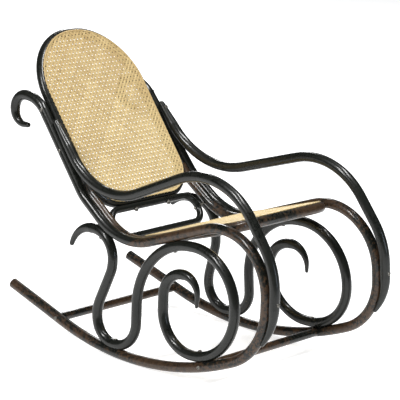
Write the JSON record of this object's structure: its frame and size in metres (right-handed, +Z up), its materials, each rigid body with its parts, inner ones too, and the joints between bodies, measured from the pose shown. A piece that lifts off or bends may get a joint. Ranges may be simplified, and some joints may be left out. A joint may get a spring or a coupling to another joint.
{
  "type": "miniature rocking chair",
  "caption": "Bentwood rocking chair at doll size, with scrolled sides on curved runners and a caned seat and back.",
  "frame": {"origin": "on the floor under the middle of the chair's bounding box", "axes": "+X the way the sitter faces, +Y the sitter's left, +Z up"},
  "size_m": [0.4715, 0.2378, 0.3747],
  "materials": {
    "ebonised_wood": "worn black gloss lacquer",
    "cane": "natural woven rattan",
    "steel": "darkened"
  },
  "bodies": {
    "root": {"arm_screws": "steel", "back_cane": "cane", "back_cane_binding": "cane", "back_frame": "ebonised_wood", "back_frame_screws": "steel", "bar_screws": "steel", "front_bar": "ebonised_wood", "left_arm": "ebonised_wood", "left_runner": "ebonised_wood", "left_scroll": "ebonised_wood", "left_upright": "ebonised_wood", "rear_bar": "ebonised_wood", "right_arm": "ebonised_wood", "right_runner": "ebonised_wood", "right_scroll": "ebonised_wood", "right_upright": "ebonised_wood", "ring_bolts": "steel", "ring_nuts": "steel", "ring_screws": "steel", "ring_stretcher": "ebonised_wood", "scroll_screws": "steel", "seat_cane": "cane", "seat_cane_binding": "cane", "seat_frame": "ebonised_wood", "seat_frame_screws": "steel", "seat_rear_rail": "ebonised_wood"}
  },
  "joints": []
}
